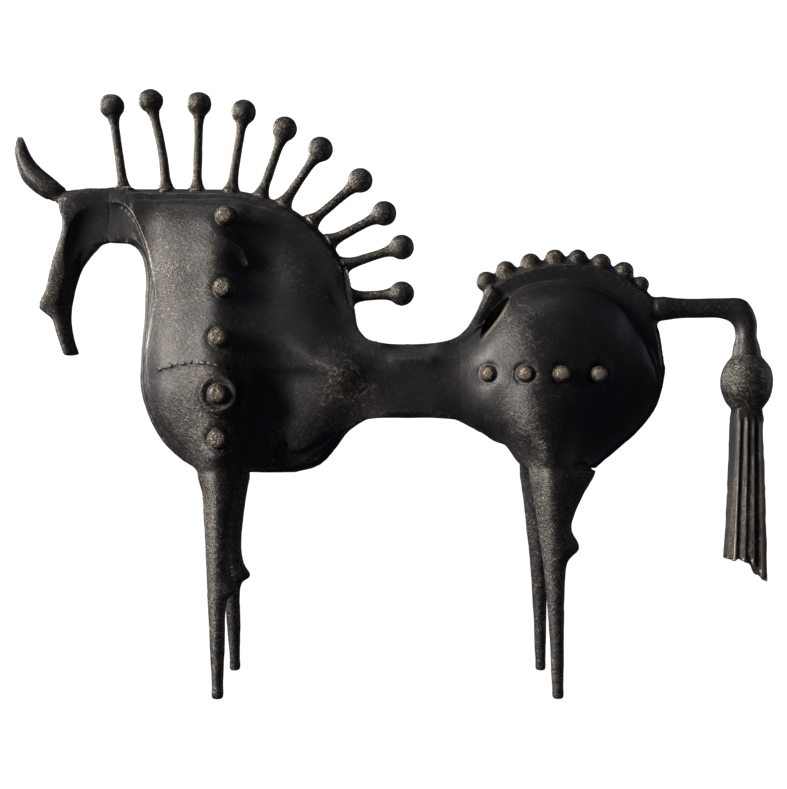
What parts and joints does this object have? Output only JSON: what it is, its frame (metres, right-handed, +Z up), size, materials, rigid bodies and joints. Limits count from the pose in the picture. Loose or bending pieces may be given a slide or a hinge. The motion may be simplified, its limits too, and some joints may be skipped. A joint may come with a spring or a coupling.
{
  "type": "bronze horse statuette",
  "caption": "Abstract bronze horse statuette with plate-like neck and round haunch on thin tapered legs, ball-topped mane pins, rivet studs, beaded croup and hanging tail tassel.",
  "frame": {"origin": "middle of the overall footprint, on the ground", "axes": "+X towards the tail, the horse faces -X; +Y across the horse; +Z up"},
  "size_m": [0.4518, 0.0912, 0.3557],
  "materials": {
    "dark_bronze": "near-black brown patina, satin, brushed and hammered, worn gold on the edges",
    "worn_bronze": "warm dark bronze, rubbed and scratched",
    "rivet_bronze": "rough-filed light bronze",
    "steel": "plain turned rod, hidden inside"
  },
  "bodies": {
    "root": {"front_web": "dark_bronze", "rear_web": "dark_bronze", "waist_beam": "dark_bronze", "waist_tie_rod": "steel", "head": "dark_bronze", "head_dowels": "steel", "ear_near": "dark_bronze", "ear_far": "dark_bronze", "mane_pin_1": "worn_bronze", "mane_pin_2": "worn_bronze", "mane_pin_3": "worn_bronze", "mane_pin_4": "worn_bronze", "mane_pin_5": "worn_bronze", "mane_pin_6": "worn_bronze", "mane_pin_7": "worn_bronze", "mane_pin_8": "worn_bronze", "mane_pin_9": "worn_bronze", "mane_pin_10": "worn_bronze", "shoulder_shell_near": "dark_bronze", "shoulder_shell_far": "dark_bronze", "haunch_shell_near": "dark_bronze", "haunch_shell_far": "dark_bronze", "front_leg_near": "dark_bronze", "front_leg_far": "dark_bronze", "hind_leg_near": "dark_bronze", "hind_leg_far": "dark_bronze", "shoulder_rivet_1": "rivet_bronze", "shoulder_rivet_2": "rivet_bronze", "shoulder_rivet_3": "rivet_bronze", "shoulder_rivet_4": "rivet_bronze", "shoulder_rivet_5": "rivet_bronze", "hip_rivet_1": "rivet_bronze", "hip_rivet_2": "rivet_bronze", "hip_rivet_3": "rivet_bronze", "hip_rivet_4": "rivet_bronze", "croup_bead_1": "worn_bronze", "croup_bead_2": "worn_bronze", "croup_bead_3": "worn_bronze", "croup_bead_4": "worn_bronze", "croup_bead_5": "worn_bronze", "croup_bead_6": "worn_bronze", "croup_bead_7": "worn_bronze", "croup_bead_8": "worn_bronze", "tail_arm": "dark_bronze", "tail_rod": "steel", "tail_bulb": "worn_bronze", "tail_tassel": "dark_bronze"}
  },
  "joints": []
}
